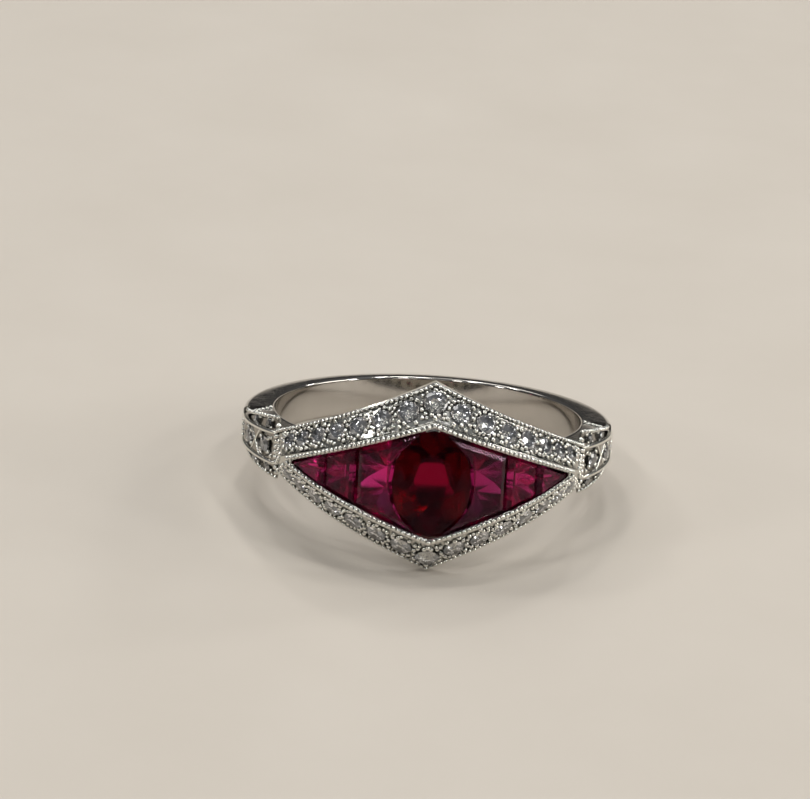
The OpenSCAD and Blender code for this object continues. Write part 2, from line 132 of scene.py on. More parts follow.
# places of the stones along a shoulder, on its front and on its leaning sides
FRONT_T = (0.18, 0.52)
LEAF_T = (0.14, 0.385)
LEAF_V = 0.5
RAIL_R = 0.13
RIB_R = 0.06
# heights and radii of a shoulder; a pair holds the values at the head and at the band
RAIL_Z = (0.84, 0.64)
CREST_Z = (BAND_W / 2 + 0.6, BAND_W / 2 - 0.2)
CREST_CURVE = 1.2
CREST_IN = 0.22
CREST_T = 0.14
RIM_R = (8.9, 8.6)
RIM_Z = BAND_W / 2 + 0.03

# gallery
GALLERY_U = 0.92
GALLERY_N = 9
PIERCE_R = 0.42
FOOT_R = (BORE_R + 0.1 * BACK_T, BORE_R + 0.9 * BACK_T)

# rubies
RUBY_SIT = 0.2
RUB_GIRDLE = HEAD_R - RUBY_SIT
RUBY_CROWN = 0.3
OVAL_R = (2.08, 0.95 * WIN_H)
OVAL_PAV = 1.2
OVAL_CUT = {"table": 0.6, "star": 0.82, "low": 0.7, "culet": 0.44}
INNER_A = 24.6
MIDDLE_A = 35.8
SIDE_PAV = 1.25
# keel under an inner, middle and tip stone: its place along the row and its length, as parts of the stone
KEEL_AT = (0.55, 0.5, 0.4)
KEEL_H = (0.2, 0.2, 0.1)
RUBY_GAP = 0.008
# brightness factor on the colour of each side ruby
STONE_TONE = {"left_inner": 1.22, "left_middle": 0.58, "left_tip": 1.25,
              "right_inner": 0.66, "right_middle": 0.96, "right_tip": 0.85}
# how far the oval stands above the row, and laps over its neighbours
OVAL_UP = 0.16
OVAL_OVER = 0.06

# beads
MIL_R = 0.125
MIL_STEP = 0.285
BEAD_SIZES = (0.92, 1.0)
GRAIN_R = 0.14
EDGE_V = 0.925

# small lamps, in metres and watts; none lies where the oval ruby's crown mirrors it to the camera
LAMPS = ((-0.25, -0.2, 0.4), (0.22, -0.1, 0.42), (0.05, 0.3, 0.4), (-0.31, 0.065, 0.33),
         (-0.18, -0.31, 0.35), (0.34, 0.205, 0.21), (0.42, -0.14, 0.3), (0.02, 0.06, 0.5),
         (0.14, -0.3, 0.4), (-0.4, -0.21, 0.17), (-0.14, 0.14, 0.46), (0.4, -0.21, 0.15),
         (0.16, 0.1, 0.47))
LAMP_SIZE = (0.05, 0.05)
LAMP_POWER = 0.18
# colours of the room from low to high, and of the floor
ROOM_TONES = ((0.035, 0.033, 0.03), (0.2, 0.205, 0.215))
FLOOR_TONES = ((0.66, 0.6, 0.52), (0.6, 0.54, 0.46))

SIDES = {"left": -1, "right": 1}
ROWS = {"upper": 1, "lower": -1}


def mix(a, b, t):
    return a + (b - a) * t


def unit(v):
    return v / np.linalg.norm(v, axis=-1, keepdims=True)


def smooth(low, high, x):
    """0 below low, 1 above high, and a soft ramp between."""
    t = np.clip((x - low) / (high - low), 0, 1)
    return t * t * (3 - 2 * t)


def to_part(points):
    """Ring millimetres to the part's frame, in metres."""
    p = np.asarray(points, float).reshape(-1, 3)
    c, s = math.cos(TILT), math.sin(TILT)
    return MM * np.stack([p[:, 0], c * p[:, 1] - s * p[:, 2], s * p[:, 1] + c * p[:, 2]], axis=1)


def head_point(angle, z, r):
    """Point at an angle, height and radius on the head's curve."""
    a, z, r = np.broadcast_arrays(np.radians(angle), z, r)
    return np.stack([r * np.sin(a), HEAD_Y - r * np.cos(a), z], axis=-1)


def finger_point(angle, z, r):
    """Point at an angle, height and radius round the finger."""
    a, z, r = np.broadcast_arrays(np.radians(angle), z, r)
    return np.stack([r * np.sin(a), -r * np.cos(a), z], axis=-1)


def inner_edge(u, off):
    """Angle and height of the window's edge, moved outwards by off."""
    angle = u * WIN_A * (1 + (off / WIN_SLOPE - TIP_Z) / WIN_H)
    return angle, WIN_H * (1 - np.abs(angle) / WIN_A) + off / WIN_SLOPE


def outer_edge(u):
    """Angle and height of the border's outer edge."""
    return u * END_A, mix(END_H, APEX_H, np.clip(1 - np.abs(u), 0, 1) ** EDGE_CURVE)


def outer_radius(u):
    """Radius of the border's outer edge, which drops more at its points than at its ends."""
    return HEAD_R - mix(APEX_DROP, END_DROP, np.abs(u))


def border_point(u, v, side):
    """Border surface: u runs from tip to tip, v from the channel to the outer edge."""
    u, v = np.broadcast_arrays(np.asarray(u, float), v)
    a, z = inner_edge(u, FRAME_OFF)
    b, h = outer_edge(u)
    inner = head_point(a, side * z, HEAD_R)
    return mix(inner, head_point(b, side * h, outer_radius(u)), v[..., None])


def border_normal(u, v, side, d=0.01):
    """Outward direction of the border's surface."""
    along = border_point(u + d, v, side) - border_point(u - d, v, side)
    across = border_point(u, v + d, side) - border_point(u, v, side)
    return unit(side * np.cross(along, across))


def border_width(u):
    """Width of the border from the channel to its outer edge."""
    return np.linalg.norm(border_point(u, 1, 1) - border_point(u, 0, 1), axis=-1)


def shoulder_angle(t):
    """Angle round the finger: t runs from the head to the full band."""
    return mix(SHOULDER_A, FAR_A, t)


def front_radius(t):
    """Radius of a shoulder's front, slightly bulged."""
    return mix(BAR_R, FAR_R, t) + BULGE * 4 * t * (1 - t)


def front_height(t):
    """Half height of a shoulder's front between its rails."""
    return mix(*RAIL_Z, t)


def cheek_point(t, v, side):
    """Leaning side of a shoulder: t runs from the head to the band, v from its crest to the front rail."""
    t, v = np.broadcast_arrays(np.asarray(t, float), v)
    z = mix(mix(*CREST_Z, np.clip(t / STOP_T, 0, 1) ** CREST_CURVE), front_height(t), v)
    return finger_point(shoulder_angle(t), side * z, front_radius(t) - CREST_IN * (1 - v))


def rim_point(t, v, side):
    """Flat rim of a shoulder inside its crest: v runs from the finger's side to the crest's wall."""
    t, v = np.broadcast_arrays(np.asarray(t, float), v)
    wall_z = np.minimum(RIM_Z, np.abs(cheek_point(t, 0, side)[..., 2]))
    r = mix(rim_radius(t), front_radius(t) - CREST_IN - CREST_T, v)
    return finger_point(shoulder_angle(t), side * mix(RIM_Z, wall_z, v), r)


def cheek_normal(t, v, side, d=0.01):
    """Outward direction of a shoulder's leaning side."""
    across = cheek_point(t, v + d, side) - cheek_point(t, v, side)
    along = cheek_point(t + d, v, side) - cheek_point(t, v, side)
    return unit(side * np.cross(across, along))


def border_d(k):
    """Diameter of the k-th stone from a point of the border."""
    return mix(POINT_D, LAST_D, k / BORDER_N)


def border_u(k):
    """Place of the k-th stone from a point of the border; the stones crowd towards its ends."""
    return LAST_U * k / BORDER_N * (1 + CROWD * (1 - k / BORDER_N))


def rounded(corners, radii, steps=4):
    """Sections (n, k, 3) with each corner turned into a short curve of the given reach."""
    most = 0.45
    back = np.roll(corners, 1, axis=1) - corners
    ahead = np.roll(corners, -1, axis=1) - corners
    curve = []
    for k, radius in enumerate(radii):
        c = corners[:, k]
        reach = [np.minimum(radius, most * np.linalg.norm(e[:, k], axis=-1))[:, None]
                 for e in (back, ahead)]
        start = c + unit(back[:, k]) * reach[0]
        end = c + unit(ahead[:, k]) * reach[1]
        for t in np.linspace(0, 1, steps + 1):
            curve.append((1 - t) ** 2 * start + 2 * t * (1 - t) * c + t * t * end)
    return np.stack(curve, axis=1)


def loft(sections, closed):
    """Skin over a row of sections, joined into a loop or capped at its ends."""
    n, m = sections.shape[:2]
    i, j = np.meshgrid(np.arange(n if closed else n - 1), np.arange(m), indexing="ij")
    near, far = i * m, (i + 1) % n * m
    ahead = (j + 1) % m
    faces = np.stack([near + j, near + ahead, far + ahead, far + j], axis=-1).reshape(-1, 4).tolist()
    if not closed:
        faces += [list(range(m - 1, -1, -1)), list(range((n - 1) * m, n * m))]
    return sections.reshape(-1, 3), faces


def joined(parts):
    """Several (points, faces) as one."""
    points, faces, start = [], [], 0
    for p, f in parts:
        points.append(p)
        faces += [[start + i for i in face] for face in f]
        start += len(p)
    return np.concatenate(points), faces


def surface_frames(normals):
    """Axes for pieces set on a surface, their own +Z along each normal."""
    x = unit(np.cross([0.02, 0.01, 1.0], normals))
    return x, np.cross(normals, x)


def new_object(name, points, faces):
    """Object in the part's frame from ring millimetres."""
    mesh = bpy.data.meshes.new(name)
    mesh.from_pydata(to_part(points).tolist(), [], faces)
    mesh.validate()
    obj = bpy.data.objects.new(name, mesh)
    bpy.context.scene.collection.objects.link(obj)
    return obj


def face_outwards(mesh):
    """Turns the faces outwards by the sign of the enclosed volume."""
    mesh.calc_loop_triangles()
    corners = np.array([[mesh.vertices[i].co for i in t.vertices] for t in mesh.loop_triangles])
    volume = np.einsum("ij,ij->", corners[:, 0], np.cross(corners[:, 1], corners[:, 2]))
    if volume < 0:
        mesh.flip_normals()


def add_piece(name, points, faces, material, stands_for=(), slot="platinum", sharp=40):
    """New piece from ring points and faces, finished."""
    obj = new_object(name, points, faces)
    finish_piece(obj, material, stands_for, sharp)
    return obj


def finish_piece(obj, material, stands_for=(), sharp=40):
    """Shading, material, body and the nodes a piece stands for; sharp None leaves its facets flat."""
    mesh = obj.data
    face_outwards(mesh)
    if sharp:
        mesh.shade_smooth()
        mesh.set_sharp_from_angle(angle=math.radians(sharp))
    mesh.materials.clear()
    mesh.materials.append(material)
    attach(obj, "root")
    if stands_for:
        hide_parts(*stands_for)


def carve(obj, cutter_points, cutter_faces):
    """Cuts a set of closed shapes out of an object's mesh."""
    cutter = new_object("cutter", cutter_points, cutter_faces)
    face_outwards(cutter.data)
    face_outwards(obj.data)
    cut = obj.modifiers.new("cut", "BOOLEAN")
    cut.operation = "DIFFERENCE"
    cut.solver = "EXACT"
    cut.use_self = True
    cut.object = cutter
    bpy.context.view_layer.update()
    shaped = obj.evaluated_get(bpy.context.evaluated_depsgraph_get())
    mesh = bpy.data.meshes.new_from_object(shaped)
    obj.modifiers.clear()
    old = obj.data
    obj.data = mesh
    mesh.name = obj.name
    bpy.data.meshes.remove(old)
    bpy.data.objects.remove(cutter)


def new_material(name):
    material = bpy.data.materials.new(name)
    material.use_nodes = True
    tree = material.node_tree
    return material, tree, tree.nodes["Principled BSDF"]


def add_node(tree, kind, **values):
    """New node with settings by attribute name, and socket values by socket name in inputs."""
    node = tree.nodes.new(kind)
    for name, value in values.pop("inputs", {}).items():
        node.inputs[name].default_value = value
    for name, value in values.items():
        setattr(node, name, value)
    return node


def noise(tree, scale, detail=4.0, stretch=(1, 1, 1)):
    """Noise over the object's own coordinates, at a scale in features per metre."""
    place = add_node(tree, "ShaderNodeTexCoord")
    size = add_node(tree, "ShaderNodeMapping", inputs={"Scale": stretch})
    pattern = add_node(tree, "ShaderNodeTexNoise", inputs={"Scale": scale, "Detail": detail})
    tree.links.new(place.outputs["Object"], size.inputs["Vector"])
    tree.links.new(size.outputs["Vector"], pattern.inputs["Vector"])
    return pattern.outputs["Fac"]


def remap(tree, source, low, high):
    """Noise value spread between two levels."""
    node = add_node(tree, "ShaderNodeMapRange",
                    inputs={"From Min": 0.3, "From Max": 0.7, "To Min": low, "To Max": high})
    tree.links.new(source, node.inputs["Value"])
    return node.outputs["Result"]


def blend_colours(tree, factor, first, second):
    """Mix of two colours or sockets by a factor's socket."""
    node = add_node(tree, "ShaderNodeMix", data_type="RGBA")
    tree.links.new(factor, node.inputs["Factor"])
    for name, value in (("A", first), ("B", second)):
        socket = [s for s in node.inputs if s.name == name and s.type == "RGBA"][0]
        if isinstance(value, bpy.types.NodeSocket):
            tree.links.new(value, socket)
        else:
            socket.default_value = (*value, 1)
    return [s for s in node.outputs if s.type == "RGBA"][0]


def platinum(name, light, dark, rough, crevice, depth):
    """Polished white metal: faint tone drift, hairline wear and painted shade darkening its crevices."""
    tone_scale, wear_scale, scratch_scale = 900, 2600, 5200
    material, tree, shader = new_material(name)
    tone = blend_colours(tree, noise(tree, tone_scale), light, dark)
    # painted shade: ambient occlusion mixes a near-black colour into the base colour in crevices
    hollow = add_node(tree, "ShaderNodeAmbientOcclusion", samples=8,
                      inputs={"Distance": crevice * MM})
    openness = add_node(tree, "ShaderNodeMapRange",
                        inputs={"From Min": 0.25, "From Max": 0.8, "To Min": 0.0, "To Max": 1.0})
    tree.links.new(hollow.outputs["AO"], openness.inputs["Value"])
    colour = blend_colours(tree, openness.outputs["Result"], CREVICE_SHADE, tone)
    tree.links.new(colour, shader.inputs["Base Color"])
    shader.inputs["Metallic"].default_value = 1.0
    tree.links.new(remap(tree, noise(tree, wear_scale, detail=6), *rough), shader.inputs["Roughness"])
    scratches = noise(tree, scratch_scale, detail=3, stretch=(1, 1, 6))
    bump = add_node(tree, "ShaderNodeBump", inputs={"Strength": 0.25, "Distance": depth * MM})
    tree.links.new(scratches, bump.inputs["Height"])
    tree.links.new(bump.outputs["Normal"], shader.inputs["Normal"])
    return material


def gem(name, colour, ior, haze=(0.0, 0.03), glare=(1, 1, 1), absorb=None, density=0.0):
    """Cut stone, clear or with fine silk; a coloured one is deeper in colour where it is thicker."""
    silk_scale = 3000
    material, tree, shader = new_material(name)
    shader.inputs["Base Color"].default_value = (*colour, 1)
    shader.inputs["IOR"].default_value = ior
    shader.inputs["Transmission Weight"].default_value = 1.0
    # glare below white dims and tints the surface reflection: painted shade on the stone's reflection
    shader.inputs["Specular Tint"].default_value = (*glare, 1)
    silk = noise(tree, silk_scale, detail=2)
    tree.links.new(remap(tree, silk, *haze), shader.inputs["Roughness"])
    if absorb:
        volume = add_node(tree, "ShaderNodeVolumeAbsorption",
                          inputs={"Color": (*absorb, 1), "Density": density})
        tree.links.new(volume.outputs["Volume"], tree.nodes["Material Output"].inputs["Volume"])
    return material


# colour of the painted shade in the metal's crevices
CREVICE_SHADE = (0.04, 0.036, 0.032)
RUBY_IOR = 1.77
DIAMOND_IOR = 2.42
SIDE_TINT = np.array([0.76, 0.08, 0.4])
# painted shade: a darker base than the worked platinum, standing in for darker reflections on the band
POLISHED_SHADED = platinum("polished_shaded_platinum", light=(0.54, 0.51, 0.47), dark=(0.48, 0.455, 0.42),
                    rough=(0.05, 0.12), crevice=0.3, depth=0.0015)
WORKED = platinum("worked_platinum", light=(0.68, 0.67, 0.62), dark=(0.58, 0.57, 0.525),
                  rough=(0.1, 0.24), crevice=0.22, depth=0.005)
# painted highlight: a brighter base than the worked platinum, so beads and rails read bright
BEADED_LIT = platinum("beaded_lit_platinum", light=(0.83, 0.825, 0.77), dark=(0.75, 0.74, 0.69),
                  rough=(0.08, 0.18), crevice=0.14, depth=0.003)
# painted shade: a darker base than the worked platinum, standing in for dark reflections on the shoulders
ENGRAVED_SHADED = platinum("engraved_shaded_platinum", light=(0.42, 0.397, 0.355), dark=(0.31, 0.29, 0.26),
                    rough=(0.12, 0.26), crevice=0.45, depth=0.006)
# painted shade: the rubies' low glare dims their surface reflection
OVAL_RUBY = gem("oval_ruby", (0.39, 0.01, 0.078), RUBY_IOR, haze=(0.14, 0.19), glare=(0.14, 0.06, 0.09),
                absorb=(0.74, 0.0, 0.36), density=1400.0)
SIDE_RUBY = {name: gem(name + "_tint", tone * SIDE_TINT, RUBY_IOR, haze=(0.12, 0.18),
                       glare=(0.3, 0.18, 0.24), absorb=(0.77, 0.0, 0.44), density=1000.0)
             for name, tone in STONE_TONE.items()}
DIAMOND = gem("clear_diamond", (1.0, 1.0, 1.0), DIAMOND_IOR)


def rim_radius(t):
    """Radius of a shoulder's rim on the finger's side."""
    return mix(*RIM_R, smooth(0, 1, t))


def band():
    """Plain hoop: slim inside the shoulders, full at the sides and thin at the back, slotted in front."""
    outer_round, inner_round, cover, spare = 0.28, 0.16, 0.15, 1
    front_steps, back_steps, slot_steps = 181, 261, 25
    half = BAND_W / 2
    stop = shoulder_angle(STOP_T)
    front = np.linspace(-stop, stop, front_steps)
    back = np.linspace(stop, 360 - stop, back_steps)
    c = np.cos(np.radians(back))
    full = c * SIDE_GAIN + np.sqrt(OUTER_R ** 2 - SIDE_GAIN ** 2 * (1 - c * c))
    t = (np.abs(front) - SHOULDER_A) / (FAR_A - SHOULDER_A)
    slim = np.where(t < 0, HOOP_R, rim_radius(t) + cover)
    angle = np.concatenate([front, back])
    outer = np.concatenate([slim, full])
    corners = np.stack([finger_point(angle, -half, BORE_R), finger_point(angle, -half, outer),
                        finger_point(angle, half, outer), finger_point(angle, half, BORE_R)], axis=1)
    sections = rounded(corners, (inner_round, outer_round, outer_round, inner_round), 6)
    obj = new_object("band", *loft(sections, True))
    edge = np.linspace(-SLOT_A, SLOT_A, slot_steps)
    cut_r = (BORE_R - spare, HOOP_R + spare)
    slot = np.stack([finger_point(edge, z * SLOT_W / 2, r) for z, r in
                     ((-1, cut_r[0]), (-1, cut_r[1]), (1, cut_r[1]), (1, cut_r[0]))], axis=1)
    carve(obj, *loft(slot, False))
    finish_piece(obj, POLISHED_SHADED, ["shank"], sharp=35)


def seat_depth(distance, d):
    """Depth of the drilled seat of a round stone, by distance from its middle."""
    r = d / 2 + FIT
    rim = r + FLARE * d
    shelf = SINK * d + GIRDLE_T / 2
    slope = shelf * np.clip((rim - distance) / (rim - r), 0, 1)
    return np.where(distance < r, shelf + (r - distance) * CUT_PAV, slope)


def border_stones():
    """Place along the border and diameter of each stone of one side."""
    sides = [(x * border_u(k), border_d(k)) for k in range(1, BORDER_N + 1) for x in (-1, 1)]
    return [(0.0, POINT_D)] + sides


def border():
    """Bevelled lozenge frame: a lip along both edges and a sunk, drilled bed between them."""
    bed_d, deepest = 0.1, 0.5
    wall_ramp, edge_ramp = (0.02, 0.08), (0.128, 0.256)
    steps_u, steps_v = 441, 37
    u = np.linspace(-1, 1, steps_u)
    v = np.linspace(0, 1, steps_v)
    rings = []
    for side in (1, -1):
        grid_u, grid_v = np.meshgrid(u, v, indexing="ij")
        base = border_point(grid_u, grid_v, side)
        wide = border_width(u)[:, None]
        from_wall = smooth(*wall_ramp, grid_v * wide)
        from_edge = smooth(*edge_ramp, (1 - grid_v) * wide)
        height = -bed_d * from_wall * from_edge
        for place, d in border_stones():
            middle = border_point(place, 0.5, side)
            depth = seat_depth(np.linalg.norm(base - middle, axis=-1), d)
            height = np.minimum(height, -np.minimum(depth, deepest))
        top = base + border_normal(grid_u, grid_v, side) * height[..., None]
        a, z = inner_edge(u, FRAME_OFF)
        b, h = outer_edge(u)
        under = [head_point(b, side * h, outer_radius(u) - EDGE_T),
                 head_point(a, side * z, HEAD_R - PLATE_T)]
        ring = np.concatenate([top, np.stack(under, axis=1)], axis=1)
        rings.append(ring if side > 0 else ring[::-1])
    add_piece("border", *loft(np.concatenate(rings), True), WORKED, ["head_frame"])


def channel():
    """Wall round the rubies, its top edges softened, with the seat ledge at its foot."""
    top_round, foot_round = 0.07, 0.03
    u = np.linspace(-1, 1, 161)
    top, foot = HEAD_R + WALL_UP, HEAD_R - WALL_D
    rings = []
    for side in (1, -1):
        rows = []
        for off, r in ((-FIT, top), (WALL_T, top), (WALL_T, foot), (-LEDGE_W, foot),
                       (-LEDGE_W, foot + LEDGE_H), (-FIT, foot + LEDGE_H)):
            a, z = inner_edge(u, off)
            rows.append(head_point(a, side * z, r))
        ring = rounded(np.stack(rows, axis=1), (top_round,) * 2 + (foot_round,) * 4, 3)
        rings.append(ring if side > 0 else ring[::-1])
    add_piece("ruby_channel_wall", *loft(np.concatenate(rings), True), WORKED, ["ruby_channel"], sharp=50)


def gallery_section(u):
    """Corners of a gallery wall: two on the band's side and two under the border."""
    top_near, top_far, step = 0.04, 0.3, 0.01

    def under(w):
        b, h = outer_edge(w)
        a, z = inner_edge(w, FRAME_OFF)
        return head_point(b, h, outer_radius(w) - EDGE_T), head_point(a, z, HEAD_R - PLATE_T)

    low, high = under(u)
    z = BAND_W / 2 + FIT
    angle = u / GALLERY_U * (SHOULDER_A - FIT_A)
    lift = FIT * unit(np.cross(under(u + step)[0] - low, high - low))
    reach = np.minimum(top_far, (low[..., 2] - z - FIT) / (low[..., 2] - high[..., 2]))[..., None]
    return np.stack([finger_point(angle, z, FOOT_R[0]), finger_point(angle, z, FOOT_R[1]),
                     mix(low, high, reach) + lift, mix(low, high, top_near) + lift], axis=-2)


def drop_outline(r, length, steps=20):
    """Round opening drawn out to a point."""
    lean = math.asin(r / length)
    turn = np.linspace(lean, -math.pi - lean, steps)
    arc = np.stack([r * np.cos(turn), r * np.sin(turn)], axis=1)
    return np.concatenate([arc, [[0.0, length]]])


def gallery(name, side):
    """Pierced wall from the side of the band to the underside of the border."""
    foot_round, top_round = 0.1, 0.05
    pierce_w, pierce_l, pierce_at = 0.22, 0.4, 0.4
    along = np.linspace(-GALLERY_U, GALLERY_U, 121)
    sections = rounded(gallery_section(along), (foot_round, foot_round, top_round, top_round), 3)
    cuts = []
    for i in range(1, GALLERY_N + 1):
        g = gallery_section(np.array([GALLERY_U * (2 * i / (GALLERY_N + 1) - 1)]))[0]
        low, high = (g[0] + g[1]) / 2, (g[2] + g[3]) / 2
        rise = np.linalg.norm(high - low)
        out = unit(np.cross(unit(high - low), np.cross([0, 0, 1], low)))
        x, y = surface_frames(out)
        outline = drop_outline(min(PIERCE_R, pierce_w * rise), pierce_l * rise)
        place = mix(low, high, pierce_at)
        flat = place + outline[:, :1] * x + outline[:, 1:] * y
        cuts.append(loft(np.stack([flat - 2 * BACK_T * out, flat + 2 * BACK_T * out]), False))
    flip = np.array([1, 1, side])
    points, faces = loft(sections, False)
    obj = new_object(name + "_wall", points * flip, faces)
    cut_points, cut_faces = joined(cuts)
    carve(obj, cut_points * flip, cut_faces)
    finish_piece(obj, WORKED, [name])


def leaf_value(along, across, length, width):
    """1 on the outline of a leaf, below 1 inside it."""
    return np.abs(across) / (width / 2) + (2 * along / length) ** 2


def shoulder(name, mirror_x):
    """Saddle over the band: a tapering front and two leaning sides, with sunk beds and drilled seats."""
    bed_d, bed_ramp, foot_part = 0.15, (0.8, 1.0), 0.8
    front_leaf_l, front_leaf_w, front_deepest = 2.1, 1.45, 0.45
    side_leaf_t, side_leaf_l, side_leaf_w, side_deepest = 0.32, 0.78, 1.8, 0.32
    steps_t, steps_side, steps_front = 81, 33, 45
    t = np.linspace(START_T, STOP_T, steps_t)
    span = math.radians(FAR_A - SHOULDER_A) * BAR_R
    panels = []
    for side in (-1, 1):
        grid_t, grid_v = np.meshgrid(t, np.linspace(0, 1, steps_side), indexing="ij")
        base = cheek_point(grid_t, grid_v, side)
        value = leaf_value(grid_t - side_leaf_t, 2 * grid_v - 1, side_leaf_l, side_leaf_w)
        height = -bed_d * (1 - smooth(*bed_ramp, value))
        for place in LEAF_T:
            distance = np.linalg.norm(base - cheek_point(place, LEAF_V, side), axis=-1)
            height = np.minimum(height, -np.minimum(seat_depth(distance, LEAF_D), side_deepest))
        panel = base + cheek_normal(grid_t, grid_v, side) * height[..., None]
        rim = np.stack([rim_point(t, 0, side), rim_point(t, 1, side)], axis=1)
        panel = np.concatenate([rim, panel], axis=1)
        panels.append(panel if side < 0 else panel[:, ::-1])
    grid_t, grid_z = np.meshgrid(t, np.linspace(-1, 1, steps_front), indexing="ij")
    flat_z = grid_z * front_height(grid_t)
    height = np.zeros_like(grid_t)
    for place in FRONT_T:
        along = (grid_t - place) * span
        value = leaf_value(along, flat_z, front_leaf_l, front_leaf_w)
        height = np.minimum(height, -bed_d * (1 - smooth(*bed_ramp, value)))
        seat = seat_depth(np.hypot(along, flat_z), FRONT_D)
        height = np.minimum(height, -np.minimum(seat, front_deepest))
    front = finger_point(shoulder_angle(grid_t), flat_z, front_radius(grid_t) + height)
    foot_z = foot_part * BAND_W / 2
    under = [finger_point(shoulder_angle(t), z, rim_radius(t)) for z in (foot_z, -foot_z)]
    sections = np.concatenate([panels[0], front[:, 1:-1], panels[1], np.stack(under, axis=1)], axis=1)
    sections[..., 0] *= mirror_x
    add_piece(name + "_saddle", *loft(sections, False), ENGRAVED_SHADED, [name], sharp=30)


def tube(path, normals, r, sides=10):
    """Wire along a path with round ends."""
    end_power, end_size = 8, 0.02
    n = len(path)
    tangent = unit(np.gradient(path, axis=0))
    across = unit(np.cross(normals, tangent))
    up = np.cross(tangent, across)
    taper = np.sqrt(np.clip(1 - np.linspace(-1, 1, n) ** end_power, end_size, 1))
    turn = np.linspace(0, 2 * math.pi, sides, endpoint=False)
    ring = across[:, None] * np.cos(turn)[:, None] + up[:, None] * np.sin(turn)[:, None]
    return loft(path[:, None] + r * taper[:, None, None] * ring, False)


def shoulder_rails(name, mirror_x):
    """Raised wires along a shoulder's front edges, and a crossed pair between its two stones."""
    cross_in, cross_reach, cross_steps = 0.07, 0.95, 21
    t = np.linspace(START_T, STOP_T, 61)
    wires = [tube(cheek_point(t, 1, side), cheek_normal(t, 1, side), RAIL_R) for side in (-1, 1)]
    cross_t = np.linspace(FRONT_T[0] + cross_in, FRONT_T[1] - cross_in, cross_steps)
    rise = np.linspace(-cross_reach, cross_reach, cross_steps) * front_height(cross_t)
    angle = shoulder_angle(cross_t)
    for lean in (-1, 1):
        path = finger_point(angle, lean * rise, front_radius(cross_t))
        wires.append(tube(path, finger_point(angle, 0, 1), RIB_R))
    points, faces = joined(wires)
    add_piece(name, points * np.array([mirror_x, 1, 1]), faces, BEADED_LIT)


def bead_shape(rings=4, sides=12):
    """Unit bead: a dome with a short foot, its base closed."""
    foot = -0.35
    lift = np.linspace(foot, math.pi / 2, rings + 1)[:-1]
    turn = np.linspace(0, 2 * math.pi, sides, endpoint=False)
    points = [[math.cos(e) * math.cos(a), math.cos(e) * math.sin(a), math.sin(e)]
              for e in lift for a in turn]
    points.append([0.0, 0.0, 1.0])
    faces = [list(range(sides - 1, -1, -1))]
    for i in range(rings - 1):
        for j in range(sides):
            k = (j + 1) % sides
            faces.append([i * sides + j, i * sides + k, (i + 1) * sides + k, (i + 1) * sides + j])
    top = (rings - 1) * sides
    faces += [[top + j, top + (j + 1) % sides, rings * sides] for j in range(sides)]
    return np.array(points), faces


def bead_row(name, places, normals, radii, stands_for):
    """Hand-raised beads: each a little different in size."""
    draw = random.Random(name)
    shape, faces = bead_shape()
    x, y = surface_frames(normals)
    beads = []
    for p, bx, by, bz, r in zip(places, x, y, normals, radii):
        size = r * draw.uniform(*BEAD_SIZES)
        axes = np.stack([bx, by, bz])
        beads.append((p + size * shape @ axes, faces))
    add_piece(name, *joined(beads), BEADED_LIT, stands_for, sharp=80)


def ruby_beads():
    """Bead row on top of the channel wall, just over the edge of the rubies."""
    reach, wall_part, size = 0.985, 0.4, 1.12
    u = np.linspace(0, 1, 41)
    rim = head_point(*inner_edge(u, WALL_T / 2), HEAD_R + WALL_UP)
    n = int(np.linalg.norm(np.diff(rim, axis=0), axis=1).sum() / MIL_STEP)
    u = np.arange(-n, n + 1) / n * reach
    a, z = inner_edge(u, wall_part * WALL_T)
    places = np.concatenate([head_point(a, s * z, HEAD_R + WALL_UP) for s in (1, -1)])
    out = np.tile(finger_point(a, 0, 1), (2, 1))
    bead_row("ruby_beads", places, out, [size * MIL_R] * len(places), ["ruby_milgrain"])


def border_beads():
    """Bead row along the outer edge of the border."""
    reach = 0.975
    edge = border_point(np.linspace(0, 1, 21), EDGE_V, 1)
    n = int(np.linalg.norm(np.diff(edge, axis=0), axis=1).sum() / MIL_STEP)
    u = np.arange(-n, n + 1) / n * reach
    places = np.concatenate([border_point(u, EDGE_V, s) for s in (1, -1)])
    out = np.concatenate([border_normal(u, EDGE_V, s) for s in (1, -1)])
    bead_row("border_beads", places, out, [MIL_R] * len(places), ["border_milgrain"])


